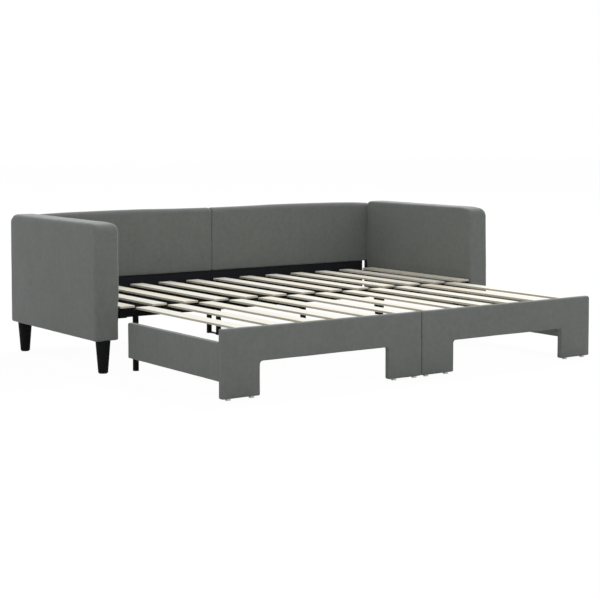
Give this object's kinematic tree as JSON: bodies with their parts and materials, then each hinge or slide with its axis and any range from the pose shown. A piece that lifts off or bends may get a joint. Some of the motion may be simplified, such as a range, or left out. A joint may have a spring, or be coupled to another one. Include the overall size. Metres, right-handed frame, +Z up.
{
  "type": "trundle daybed",
  "caption": "Upholstered daybed with arms and back, whose slatted trundle half slides out in front to make a double bed; its slats run in the gaps between the fixed slats.",
  "frame": {"origin": "on the floor, under the middle of the fully opened bed", "axes": "+X along the bed from left arm to right arm, +Y from the trundle front to the back, +Z up"},
  "size_m": [2.226, 1.756, 0.645],
  "materials": {
    "velvet": "short-pile velvet, dark grey, soft sheen",
    "slat_wood": "pale sanded plywood, unvarnished",
    "leg_black": "satin black lacquer",
    "frame_board": "raw board",
    "ledger_wood": "raw planed batten",
    "board_black": "board under black lining cloth",
    "steel_black": "black powder coat, satin",
    "glide_plastic": "moulded black plastic",
    "glide_white": "natural white nylon"
  },
  "bodies": {
    "daybed": {"arm_cover_left": "velvet", "arm_cover_right": "velvet", "arm_frame_left": "frame_board", "arm_frame_right": "frame_board", "arm_leg_left_front": "leg_black", "arm_leg_left_rear": "leg_black", "arm_leg_right_front": "leg_black", "arm_leg_right_rear": "leg_black", "back_cover_left": "velvet", "back_cover_right": "velvet", "back_frame_left": "board_black", "back_frame_right": "board_black", "back_board_left": "board_black", "back_board_right": "board_black", "rail_front": "steel_black", "rail_middle": "steel_black", "rail_rear": "steel_black", "centre_beam": "steel_black", "post_front_left": "steel_black", "post_front_right": "steel_black", "post_front_centre": "steel_black", "leg_rear_centre": "steel_black", "rail_brackets": "steel_black", "rail_bolts": "steel_black", "frame_glides": "glide_plastic", "fixed_slat_01": "slat_wood", "fixed_slat_02": "slat_wood", "fixed_slat_03": "slat_wood", "fixed_slat_04": "slat_wood", "fixed_slat_05": "slat_wood", "fixed_slat_06": "slat_wood", "fixed_slat_07": "slat_wood", "fixed_slat_08": "slat_wood", "fixed_slat_09": "slat_wood", "fixed_slat_10": "slat_wood", "fixed_slat_11": "slat_wood", "fixed_slat_12": "slat_wood", "fixed_slat_13": "slat_wood"},
    "trundle": {"front_cover_left": "velvet", "front_cover_right": "velvet", "front_frame_left": "frame_board", "front_frame_right": "frame_board", "skirt_left": "velvet", "skirt_right": "velvet", "ledger_left": "ledger_wood", "ledger_right": "ledger_wood", "trundle_slat_01": "slat_wood", "trundle_slat_02": "slat_wood", "trundle_slat_03": "slat_wood", "trundle_slat_04": "slat_wood", "trundle_slat_05": "slat_wood", "trundle_slat_06": "slat_wood", "trundle_slat_07": "slat_wood", "trundle_slat_08": "slat_wood", "trundle_slat_09": "slat_wood", "trundle_slat_10": "slat_wood", "trundle_slat_11": "slat_wood", "trundle_slat_12": "slat_wood", "trundle_brackets": "steel_black", "trundle_glides": "glide_white"}
  },
  "joints": [
    {"name": "trundle_slide", "type": "slide", "parent": "daybed", "child": "trundle", "axis": [0, 1, 0], "range_m": [0, 0.775]}
  ]
}
